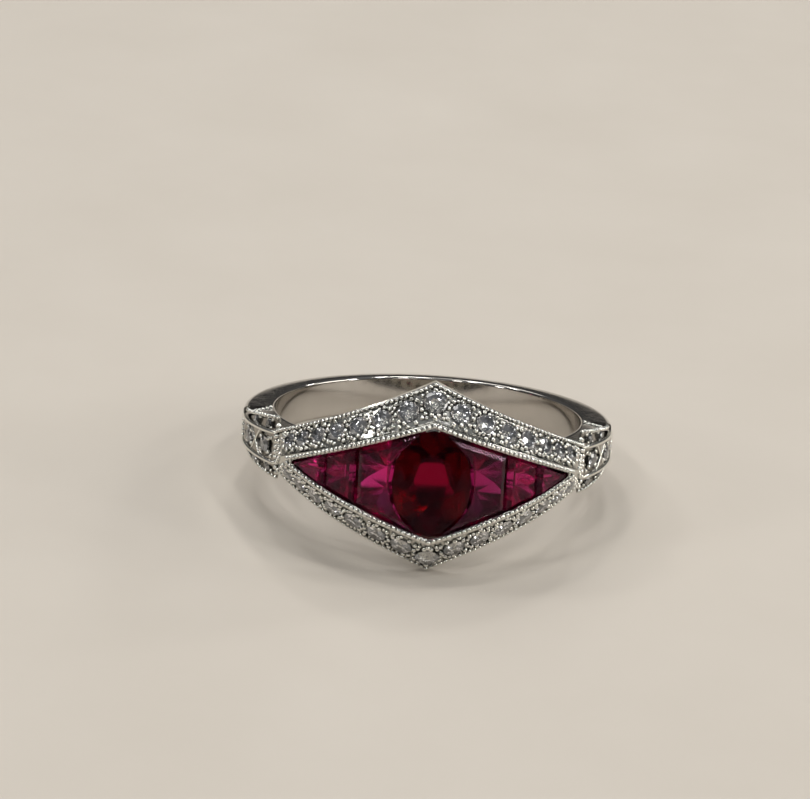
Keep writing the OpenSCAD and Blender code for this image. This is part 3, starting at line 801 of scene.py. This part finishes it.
def shoulder_beads():
    """Bead bars at both ends of each shoulder front, bead rows on its crests and grains at its stones."""
    pair_t, pair_z, pair_r = 0.055, 0.5, 0.12
    front_gap, front_sink = 0.5, 0.07
    crest_start, crest_v, crest_n = 0.02, 0.04, 17
    rim_t, rim_v, rim_n = (STOP_T - 0.03, 0.62), (0.1, 0.85), 5
    leaf_gap, leaf_sink, leaf_size = 0.45, 0.1, 0.85
    places, out, radii = [], [], []

    def add(points, normals, r):
        for x in (-1, 1):
            flip = np.array([x, 1, 1])
            places.append(flip * points)
            out.append(flip * normals)
            radii.extend([r] * len(points))

    span = math.radians(FAR_A - SHOULDER_A) * BAR_R
    corner = np.radians([45, 135, 225, 315])
    for t, count, r, proud in BARS:
        z = (np.arange(count) - (count - 1) / 2) * MIL_STEP
        lean = np.clip((np.abs(z) - front_height(t)) / (CREST_Z[0] - front_height(t)), 0, 1) * CREST_IN
        angle = shoulder_angle(t)
        add(finger_point(angle, z, front_radius(t) - lean + proud), finger_point(angle, 0 * z, 1), r)
    t = np.array([pair_t, pair_t])
    pair = finger_point(shoulder_angle(t), [-pair_z, pair_z], front_radius(t))
    add(pair, finger_point(shoulder_angle(t), 0, 1), pair_r)
    for place in FRONT_T:
        reach = FRONT_D / 2 + front_gap * GRAIN_R
        t = place + reach * np.cos(corner) / span
        points = finger_point(shoulder_angle(t), reach * np.sin(corner), front_radius(t) - front_sink)
        add(points, finger_point(shoulder_angle(t), 0, 1), GRAIN_R)
    for side in (-1, 1):
        t = np.linspace(crest_start, STOP_T, crest_n)
        crest_out = unit(cheek_normal(t, crest_v, side) + np.array([0, 0, side]))
        add(cheek_point(t, crest_v, side), crest_out, MIL_R)
        v = np.linspace(*rim_v, rim_n)
        add(rim_point(mix(*rim_t, v), v, side), np.tile([0.0, 0.0, side], (rim_n, 1)), MIL_R)
        for place in LEAF_T:
            n = cheek_normal(place, LEAF_V, side)
            bx, by = surface_frames(n)
            reach = LEAF_D / 2 + leaf_gap * GRAIN_R
            ring = np.cos(corner)[:, None] * bx + np.sin(corner)[:, None] * by
            points = cheek_point(place, LEAF_V, side) - leaf_sink * n + reach * ring
            add(points, np.tile(n, (4, 1)), leaf_size * GRAIN_R)
    bead_row("shoulder_beads", np.concatenate(places), np.concatenate(out), radii, ["shoulder_milgrain"])


def border_axes(u, side, d=0.001):
    """Lengths of a step in u and in v on the border, in millimetres."""
    along = np.linalg.norm(border_point(u + d, 0.5, side) - border_point(u - d, 0.5, side)) / (2 * d)
    return along, float(border_width(u))


def grain_fits(u, v, side, r, taken):
    """Whether a grain has room between the wall, the bead row, the stones and the grains already there."""
    last_u, wall_gap, bead_gap, stone_gap, grain_gap = 0.988, 0.8, 0.85, 0.45, 0.9
    wide = float(border_width(u))
    if abs(u) > last_u or v * wide < wall_gap * r:
        return False
    if (EDGE_V - v) * wide < bead_gap * (r + MIL_R):
        return False
    p = border_point(u, v, side)
    for place, d in border_stones():
        if np.linalg.norm(p - border_point(place, 0.5, side)) < d / 2 + stone_gap * r:
            return False
    return all(np.linalg.norm(p - q) > grain_gap * (r + s) for q, s in taken)


def grains():
    """Grains over the stones: four at each stone, fillers where metal is left, and rows at both ends."""
    near, far, sink = 0.55, 2.2, 0.35
    end_rows = (0.3, 0.5, 0.7, 0.88)
    passes = ((GRAIN_R, (45, 135, 225, 315)),
              (GRAIN_R, range(0, 360, 15)),
              (0.8 * GRAIN_R, range(0, 360, 10)))
    places, out, radii = [], [], []
    for side in (1, -1):
        taken = []
        for r, angles in passes:
            for place, d in border_stones():
                along, wide = border_axes(place, side)
                for angle in angles:
                    for reach in (d / 2 + near * r, d / 2 + far * r):
                        u = place + reach * math.cos(math.radians(angle)) / along
                        v = 0.5 + reach * math.sin(math.radians(angle)) / wide
                        if grain_fits(u, v, side, r, taken):
                            taken.append((border_point(u, v, side), r))
                            out.append(border_normal(u, v, side))
        places += [q - sink * r * n for (q, r), n in zip(taken, out[len(places):])]
        radii += [r for q, r in taken]
    for end in (-1, 1):
        for count, v in enumerate(end_rows, start=1):
            low, high = border_point(end, v, -1), border_point(end, v, 1)
            normal = end * unit(np.cross([0, 0, 1], border_point(end, v - 0.01, 1) - high))
            for k in range(count):
                places.append(mix(low, high, (k + 0.5) / count) - sink * GRAIN_R * normal)
                out.append(normal)
                radii.append(GRAIN_R)
    bead_row("grains", np.array(places), np.array(out), radii, ["setting_grains"])


def brilliant(rx, ry, crown, pav, table=0.56, star=0.8, low=0.3, culet=0.0):
    """Brilliant cut with its girdle at z = 0; culet is the size of the flat at its point."""
    least = 0.02
    g = GIRDLE_T / 2
    half_step = math.cos(math.pi / 8)
    star_z = crown * (1 - star * half_step) / (1 - table)
    low_z = -pav * (1 - low * half_step) / (1 - culet)

    def ring(n, size, z, shift=0.0):
        turn = (np.arange(n) + shift) * 2 * math.pi / n
        return np.stack([rx * size * np.cos(turn), ry * size * np.sin(turn), np.full(n, z)], axis=1)

    points = np.concatenate([ring(8, table, crown + g), ring(8, star, star_z + g, 0.5), ring(16, 1, g),
                             ring(16, 1, -g), ring(8, low, low_z - g, 0.5),
                             ring(8, max(culet, least), -pav - g)])
    faces = [list(range(8)), list(range(63, 55, -1))]
    for k in range(8):
        after, before = (k + 1) % 8, (k + 7) % 8
        even, odd, even_after = 2 * k, 2 * k + 1, (2 * k + 2) % 16
        faces += [[k, 8 + k, after], [k, 16 + even, 8 + k], [k, 8 + before, 16 + even],
                  [8 + k, 16 + even, 16 + odd], [8 + k, 16 + odd, 16 + even_after],
                  [16 + even, 32 + even, 32 + odd, 16 + odd],
                  [16 + odd, 32 + odd, 32 + even_after, 16 + even_after],
                  [48 + k, 32 + odd, 32 + even], [48 + k, 32 + even_after, 32 + odd],
                  [56 + k, 48 + k, 32 + even], [56 + k, 32 + even, 48 + before],
                  [56 + k, 56 + after, 48 + k]]
    return points, faces


def keel_cut(outline, keel_x, keel, crown, pav):
    """Stepped crown over an outline, and a pavilion of kites and triangles drawn in to a keel."""
    table, step, step_z = 0.74, 0.88, 0.62
    waist, waist_z, point = 0.6, 0.52, 0.04
    g = GIRDLE_T / 2
    n = len(outline)
    heart = np.stack([np.full(n, keel_x), np.clip(outline[:, 1], -keel, keel)], axis=1)
    middle = (outline + np.roll(outline, -1, axis=0)) / 2
    middle_heart = (heart + np.roll(heart, -1, axis=0)) / 2
    rings = [(mix(heart, outline, table), crown), (mix(heart, outline, step), step_z * crown),
             (outline, g), (outline, -g),
             (mix(middle_heart, middle, waist), -waist_z * pav), (mix(heart, outline, point), -pav)]
    points = np.concatenate([np.column_stack([flat, np.full(n, z)]) for flat, z in rings])
    faces = [list(range(n)), list(range(6 * n - 1, 5 * n - 1, -1))]
    for j in range(n):
        after = (j + 1) % n
        before = (j - 1) % n
        faces += [[k * n + j, (k + 1) * n + j, (k + 1) * n + after, k * n + after] for k in range(3)]
        faces += [[3 * n + j, 4 * n + j, 3 * n + after],
                  [3 * n + j, 4 * n + before, 5 * n + j, 4 * n + j],
                  [5 * n + j, 5 * n + after, 4 * n + j]]
    return points, faces


def window_half(angle, off):
    """Half height of the window at an angle, moved outwards by off."""
    return WIN_H * (1 - abs(angle) / WIN_A) + off / WIN_SLOPE


def side_outline(a0, a1, inner):
    """Girdle of a side ruby between two angles of the row; the inner one is hollowed to fit the oval."""
    arc_end, arc_n, far_break = 67.5, 7, 0.4
    a = (a0 + a1) / 2
    w = RUB_GIRDLE * math.tan(math.radians(a1 - a0) / 2) - RUBY_GAP / 2

    def half(x):
        return max(window_half(a + math.degrees(math.atan(x / RUB_GIRDLE)), -2 * FIT), TIP_Z)

    if not inner:
        mid = half(0.0)
        return np.array([[-w, half(-w)], [-w, 0], [-w, -half(-w)], [0, -mid],
                         [w, -half(w)], [w, 0], [w, half(w)], [0, mid]])
    c, s = math.cos(math.radians(a)), math.sin(math.radians(a))
    rx, rz = OVAL_R[0] - OVAL_OVER, OVAL_R[1] - OVAL_OVER
    arc = np.radians(np.linspace(arc_end, -arc_end, arc_n))
    near = [[(rx * math.cos(turn) - RUB_GIRDLE * s) / c, rz * math.sin(turn)] for turn in arc]
    corner = near[0][0]
    middle = (corner + w) / 2
    far = [[w, y * half(w)] for y in (-1, -far_break, far_break, 1)]
    low = [[corner, -half(corner)], [middle, -half(middle)]]
    high = [[middle, half(middle)], [corner, half(corner)]]
    return np.array(near + low + far + high)


def in_window(points, angle, mirror_x=1):
    """Ruby in its own plane, table outwards and +X along the row, put in its place."""
    c, s = math.cos(math.radians(angle)), math.sin(math.radians(angle))
    axes = np.array([[c, s, 0], [0, 0, 1], [s, -c, 0]])
    return (head_point(angle, 0, RUB_GIRDLE) + points @ axes) * np.array([mirror_x, 1, 1])


def rubies():
    """Oval middle stone, and three stones to each side that narrow with the window."""
    points, faces = brilliant(*OVAL_R, RUBY_CROWN, OVAL_PAV, **OVAL_CUT)
    raised = points + np.array([0, 0, OVAL_UP])
    add_piece("oval_ruby", in_window(raised, 0), faces, OVAL_RUBY, ["center_ruby"], "ruby", None)
    oval_a = math.degrees(math.atan(OVAL_R[0] / RUB_GIRDLE))
    tip_a = WIN_A * (1 - (2 * FIT / WIN_SLOPE + TIP_Z) / WIN_H)
    edges = (oval_a, INNER_A, MIDDLE_A, tip_a)
    for x_name, x in SIDES.items():
        for k, name in enumerate(("inner", "middle", "tip")):
            outline = side_outline(edges[k], edges[k + 1], k == 0)
            tall = abs(outline[:, 1]).max()
            keel_x = mix(outline[:, 0].min(), outline[:, 0].max(), KEEL_AT[k])
            points, faces = keel_cut(outline, keel_x, KEEL_H[k] * tall, RUBY_CROWN, SIDE_PAV)
            placed = in_window(points, (edges[k] + edges[k + 1]) / 2, x)
            stone = f"{x_name}_{name}"
            add_piece(stone + "_stone", placed, faces, SIDE_RUBY[stone], [stone + "_ruby"], "ruby", None)


def diamonds():
    """The round stones keep their own solids and take the clear stone's finish."""
    for name, obj in frame["nodes"].items():
        if "diamond" in name and not obj.hide_render:
            obj.data.materials.clear()
            obj.data.materials.append(DIAMOND)


def floor():
    """Plain pale floor under the ring, six metres wide."""
    low = CAD_BOX[0][2]
    size = 3.0
    n = 2
    mottle_scale = 90
    ticks = np.linspace(-size, size, n + 1)
    points = [(x, y, low) for y in ticks for x in ticks]
    faces = [(j * (n + 1) + i, j * (n + 1) + i + 1, (j + 1) * (n + 1) + i + 1, (j + 1) * (n + 1) + i)
             for j in range(n) for i in range(n)]
    mesh = bpy.data.meshes.new("floor")
    mesh.from_pydata(points, [], faces)
    obj = bpy.data.objects.new("floor", mesh)
    bpy.context.scene.collection.objects.link(obj)
    material, tree, shader = new_material("pale_floor")
    colour = blend_colours(tree, noise(tree, mottle_scale, detail=5), *FLOOR_TONES)
    tree.links.new(colour, shader.inputs["Base Color"])
    shader.inputs["Roughness"].default_value = 0.75
    mesh.materials.append(material)


def camera():
    """Camera fitted to the photograph: angles in degrees, distance in millimetres, scale in pixels per
    millimetre at the ring, and the pixel where the ring's middle appears.
    """
    lift, turn, roll = (math.radians(x) for x in (13.7, 2.0, 3.2))
    distance, scale = 170.0, 17.95
    image_w, image_h = 810, 799
    ring_at = (426.6, 430.3)
    focal = scale * distance
    turn_m = np.array([[math.cos(turn), -math.sin(turn), 0],
                       [math.sin(turn), math.cos(turn), 0],
                       [0, 0, 1]])
    lift_m = np.array([[1, 0, 0],
                       [0, math.sin(lift), math.cos(lift)],
                       [0, -math.cos(lift), math.sin(lift)]])
    roll_m = np.array([[math.cos(roll), math.sin(roll), 0],
                       [-math.sin(roll), math.cos(roll), 0],
                       [0, 0, 1]])
    view = roll_m @ lift_m @ turn_m
    right, up, back = view
    aim = back + (ring_at[0] - image_w / 2) / focal * right - (ring_at[1] - image_h / 2) / focal * up
    axes = to_part(np.stack([right, up, aim])) / MM
    back = Vector(axes[2]).normalized()
    right = Vector(axes[1]).cross(back).normalized()
    up = back.cross(right)
    data = bpy.data.cameras.new("camera")
    data.sensor_width = 36
    data.lens = focal / image_w * data.sensor_width
    data.clip_start = 0.001
    obj = bpy.data.objects.new("camera", data)
    place = Vector(to_part(distance * view[2])[0])
    obj.matrix_world = Matrix.Translation(place) @ Matrix((right, up, back)).transposed().to_4x4()
    bpy.context.scene.collection.objects.link(obj)
    bpy.context.scene.camera = obj


def softbox(name, place, size, power, colour=(1, 1, 1)):
    """Rectangular lamp that faces the ring."""
    data = bpy.data.lights.new(name, "AREA")
    data.shape = "RECTANGLE"
    data.size, data.size_y = size
    data.energy = power
    data.color = colour
    obj = bpy.data.objects.new(name, data)
    place = Vector(place)
    obj.location = place
    obj.rotation_euler = place.to_track_quat("Z", "Y").to_euler()
    bpy.context.scene.collection.objects.link(obj)


def lights():
    """Large window behind, a smaller one low at the right, small lamps for sparkle and a dim room."""
    softbox("window", place=(-0.15, 0.32, 0.42), size=(0.3, 0.3), power=0.5, colour=(1.0, 0.99, 0.97))
    softbox("right_window", place=(0.43, -0.04, 0.17), size=(0.26, 0.18), power=0.48,
            colour=(1.0, 0.98, 0.94))
    for k, place in enumerate(LAMPS):
        softbox(f"lamp_{k + 1}", place, LAMP_SIZE, LAMP_POWER)
    world = bpy.data.worlds.new("room")
    world.use_nodes = True
    tree = world.node_tree
    place = add_node(tree, "ShaderNodeTexCoord")
    split = add_node(tree, "ShaderNodeSeparateXYZ")
    rise = add_node(tree, "ShaderNodeMapRange",
                    inputs={"From Min": -0.1, "From Max": 0.9, "To Min": 0.0, "To Max": 1.0})
    tree.links.new(place.outputs["Generated"], split.inputs["Vector"])
    tree.links.new(split.outputs["Z"], rise.inputs["Value"])
    colour = blend_colours(tree, rise.outputs["Result"], *ROOM_TONES)
    tree.links.new(colour, tree.nodes["Background"].inputs["Color"])
    bpy.context.scene.world = world


camera()
lights()
floor()
band()
for side_name, side_sign in SIDES.items():
    shoulder(side_name + "_shoulder", side_sign)
    shoulder_rails(side_name + "_shoulder_rails", side_sign)
border()
channel()
for row_name, row_sign in ROWS.items():
    gallery(row_name + "_gallery", row_sign)
ruby_beads()
border_beads()
shoulder_beads()
grains()
rubies()
diamonds()

bpy.context.scene.view_settings.view_transform = "Standard"
